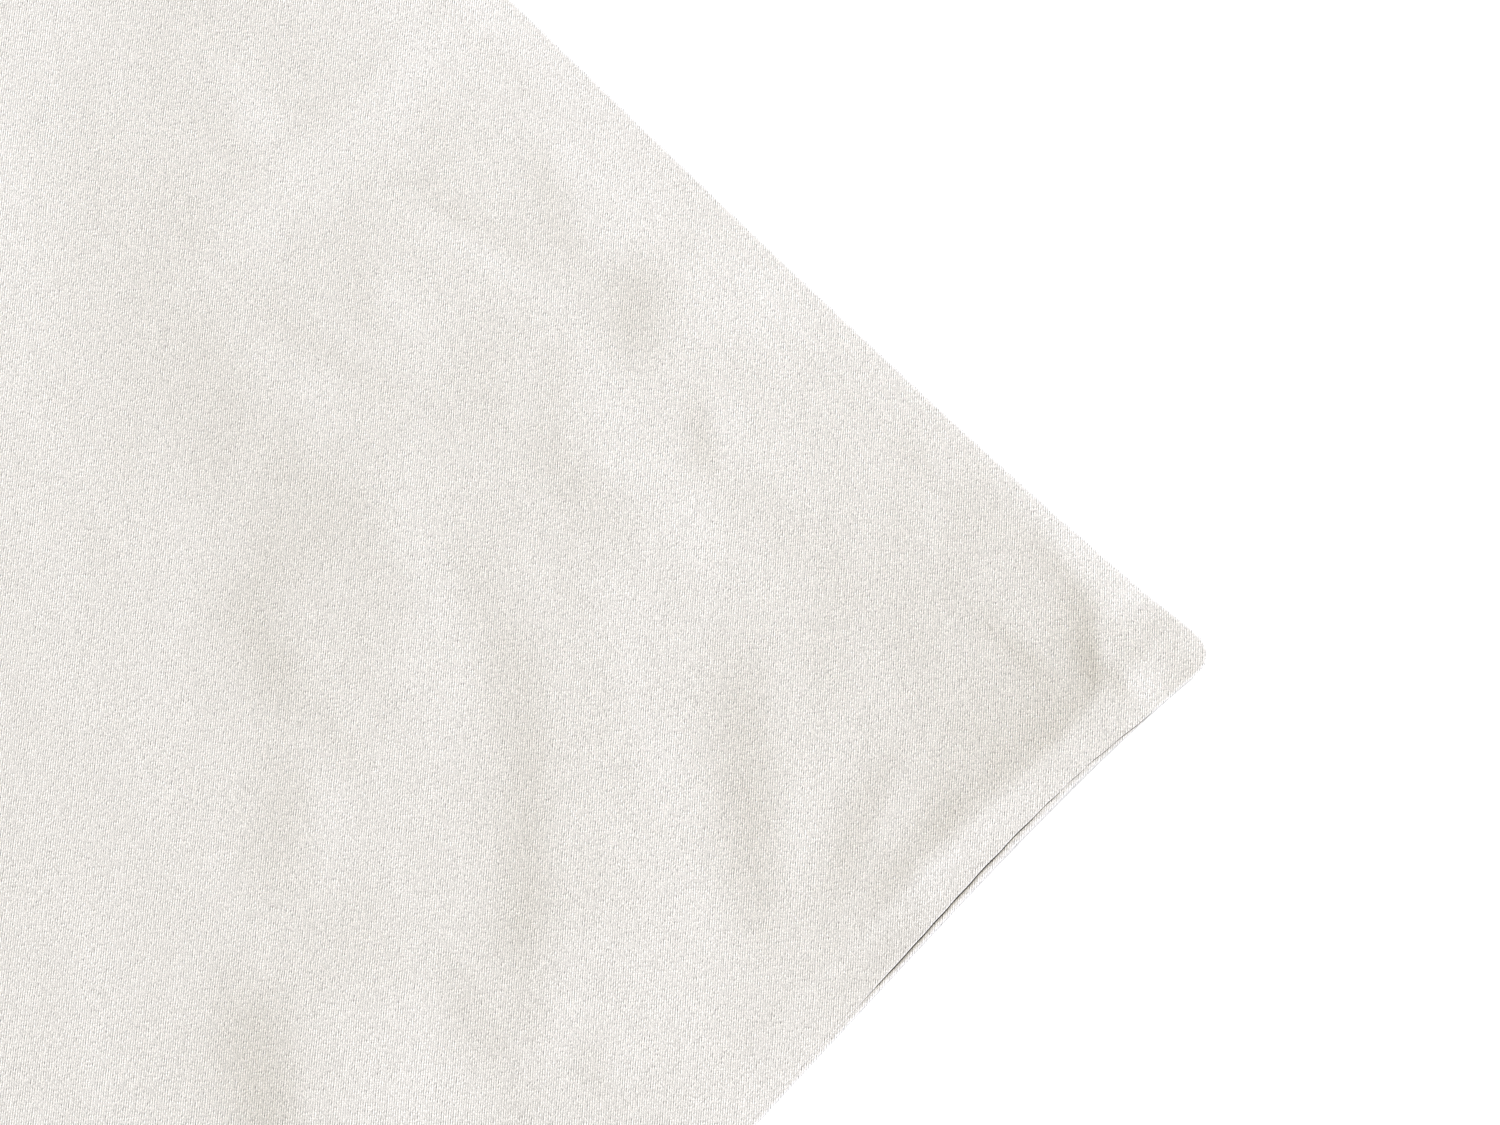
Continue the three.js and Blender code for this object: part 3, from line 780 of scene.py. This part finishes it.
def cotton_material():
    """Plain weave: threads along both edges of the cloth, each crossing over every other one."""
    material = bpy.data.materials.new("cotton_weave")
    n = Nodes(material)
    where = n.add("ShaderNodeTexCoord").outputs["Object"]
    split = n.add("ShaderNodeSeparateXYZ", Vector=where)

    # The threads: each one's number, and its rounded back from 0 at its sides to 1.
    thread, ridge, number = {}, {}, {}
    for axis, per_metre in THREADS_PER_METRE.items():
        seed, drift = THREAD_SEEDS[axis], THREAD_DRIFT["scale"]
        shift = n.stretched_noise(where, (drift, drift, drift * seed))
        wavy = n.math("MULTIPLY_ADD", shift, THREAD_DRIFT["threads"], seed)
        thread[axis] = n.math("MULTIPLY_ADD", split.outputs[axis], per_metre, wavy)
        ridge[axis] = n.math("ABSOLUTE", n.math("SINE", n.math("MULTIPLY", thread[axis], math.pi)))
        number[axis] = n.math("FLOOR", thread[axis])

    # Their height. At every other crossing, where over is 1, the one along Y is on top.
    crossing = n.math("ADD", number["X"], number["Y"])
    over = n.math("FRACT", n.math("MULTIPLY", crossing, 0.5))
    over = n.math("MULTIPLY", over, 2.0)
    crimp_y = n.math("MULTIPLY_ADD", ridge["Y"], CRIMP, 1 - CRIMP)
    crimp_x = n.math("MULTIPLY_ADD", ridge["X"], CRIMP, 1 - CRIMP)
    upper = n.math("MULTIPLY", n.math("MULTIPLY", ridge["X"], crimp_y), over)
    under = n.math("SUBTRACT", 1.0, over)
    lower = n.math("MULTIPLY", n.math("MULTIPLY", ridge["Y"], crimp_x), under)
    lower = n.math("MULTIPLY", lower, LOWER_THREADS)
    weave = n.math("ADD", upper, lower)

    # What differs by chance from one crossing to the next, with painted highlight and shade on its
    # sides.
    chances = []
    for step in (0.0, 1.0):
        cell = n.add("ShaderNodeCombineXYZ", X=n.math("ADD", number["X"], step), Y=number["Y"])
        chances.append(n.add("ShaderNodeTexWhiteNoise", Vector=cell.outputs[0]).outputs["Value"])
    uneven = n.math("SUBTRACT", *chances)
    # Painted highlight and shade: each crossing is lighter on one side, darker on the other.
    diagonal = n.math("MULTIPLY", n.math("ADD", thread["X"], thread["Y"]), math.pi)
    brightness = n.math("ADD", chances[0], PAINTED_LIT_SIDE_OFFSET)
    painted_lit_side = n.math("MULTIPLY", n.math("COSINE", diagonal), brightness)
    # Painted shade: dark specks in some of the gaps between threads.
    gap = n.math("MAXIMUM", n.math("MULTIPLY", n.math("COSINE", diagonal), -1.0), 0.0)
    painted_gap_shade = n.math("MULTIPLY", gap, n.math("POWER", chances[1], PAINTED_GAP_SHADE_RARITY))
    slub_x, slub_y = (n.stretched_noise(where, scales) for scales in SLUB_SCALES)
    fuzz = n.noise(where, FUZZ_SCALE, detail=1.0)

    # Painted shade: the weave's height also darkens the tone low between the threads.
    tone = n.math("MULTIPLY_ADD", weave, TONE["weave"], TONE["base"])
    tone = n.math("MULTIPLY_ADD", painted_lit_side, TONE["painted_lit_side"], tone)
    tone = n.math("MULTIPLY_ADD", uneven, TONE["uneven"], tone)
    tone = n.math("MULTIPLY_ADD", painted_gap_shade, TONE["painted_gap_shade"], tone)
    for part, amount in ((slub_x, "slub"), (slub_y, "slub"), (fuzz, "fuzz")):
        tone = n.math("MULTIPLY_ADD", n.math("SUBTRACT", part, 0.5), TONE[amount], tone)
    # Painted shade: upright cloth, as on the rolled edges, is darker the less its normal points up.
    normal = n.add("ShaderNodeNewGeometry").outputs["Normal"]
    upright = n.add("ShaderNodeSeparateXYZ", Vector=normal).outputs["Z"]
    level = n.add("ShaderNodeMapRange", Value=n.math("ABSOLUTE", upright), **UPRIGHT_PAINTED_SHADE)
    tone = n.math("MULTIPLY", tone, level.outputs["Result"])

    height = n.math("ADD", weave, n.math("MULTIPLY", n.math("ADD", slub_x, slub_y), RELIEF["slub"]))
    height = n.math("ADD", height, n.math("MULTIPLY", n.math("ADD", fuzz, uneven), RELIEF["fuzz"]))
    n.finish_cloth(tone, height, COTTON_BUMP, COTTON_SURFACE)
    return material


def thread_material():
    """Twisted sewing thread, a shade lighter than the cloth."""
    material = bpy.data.materials.new("sewing_thread")
    n = Nodes(material)
    where = n.add("ShaderNodeTexCoord").outputs["Object"]
    twist = n.stretched_noise(where, TWIST_SCALE, detail=1.0)
    tone = n.math("MULTIPLY_ADD", twist, THREAD_TONE["twist"], THREAD_TONE["base"])
    n.finish_cloth(tone, twist, THREAD_BUMP, THREAD_SURFACE)
    return material


# ---------------------------------------------------------------- surroundings
def make_floor():
    """A pale floor that keeps the cover's shadow."""
    side = FLOOR_REACH
    corners = np.array([(-side, -side, 0), (side, -side, 0), (side, side, 0), (-side, side, 0)])
    floor = make_object("floor", corners, np.array([[0, 1, 2, 3]]))
    material = bpy.data.materials.new("pale_floor")
    n = Nodes(material)
    diffuse = n.add("ShaderNodeBsdfDiffuse", Color=FLOOR_COLOUR)
    strength = n.math("MULTIPLY", n.seen_directly(), FLOOR_GLOW)
    glow = n.add("ShaderNodeEmission", Color=WHITE, Strength=strength)
    both = n.add("ShaderNodeAddShader")
    n.connect(diffuse.outputs[0], both.inputs[0])
    n.connect(glow.outputs[0], both.inputs[1])
    n.finish(both)
    floor.data.materials.append(material)


def make_world():
    """An even sky that lights the cover, seen as plain white."""
    world = bpy.data.worlds.new("studio")
    bpy.context.scene.world = world
    n = Nodes(world)
    light = (*(SKY_STRENGTH * part for part in SKY_COLOUR), 1.0)
    shade = n.add("ShaderNodeMixRGB", Fac=n.seen_directly(), Color1=light, Color2=WHITE)
    sky = n.add("ShaderNodeBackground", Color=shade.outputs[0])
    n.finish(sky, "ShaderNodeOutputWorld")


def link_aimed(thing, back):
    """Adds a lamp or camera to the scene, turned to look the way opposite to back."""
    bpy.context.scene.collection.objects.link(thing)
    thing.rotation_mode = "QUATERNION"
    thing.rotation_quaternion = (-back).to_track_quat("-Z", "Y")


def make_sun():
    """Broad light from one side, as from a window."""
    light = bpy.data.lights.new("window_light", "SUN")
    light.energy = SUN_STRENGTH
    light.color = SUN_COLOUR
    light.angle = math.radians(SUN_SPREAD)
    elevation = math.radians(SUN_ELEVATION)
    x, y = (part * math.cos(elevation) for part in SUN_TOWARDS)
    link_aimed(bpy.data.objects.new("window_light", light), Vector((x, y, math.sin(elevation))))


def make_camera():
    """The camera at the photo's viewing angle."""
    data = bpy.data.cameras.new("camera")
    data.lens = LENS
    data.clip_start, data.clip_end = VIEW_CLIP
    camera = bpy.data.objects.new("camera", data)
    azimuth, elevation = math.radians(VIEW_AZIMUTH), math.radians(VIEW_ELEVATION)
    level = math.cos(elevation)
    back = Vector((math.sin(azimuth) * level, -math.cos(azimuth) * level, math.sin(elevation)))
    camera.location = (Vector(VIEW_TARGET) + back * VIEW_DISTANCE) * MM
    link_aimed(camera, back)
    bpy.context.scene.camera = camera


# ---------------------------------------------------------------- the scene
make_camera()
make_world()
make_sun()
make_floor()

front = sheet_mesh("front_sheet", FRONT_LINES, True)
back = sheet_mesh("back_sheet", BACK_LINES, False)
hem_stitches = hem_stitch_rows()

cotton = cotton_material()
thread = thread_material()
for sheet in (front, back):
    sheet.data.materials.append(cotton)
hem_stitches.data.materials.append(thread)

for piece in (front, back, hem_stitches):
    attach(piece, "root")
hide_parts("front_panel")
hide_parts("back_panel")

bpy.context.scene.view_settings.view_transform = "Standard"
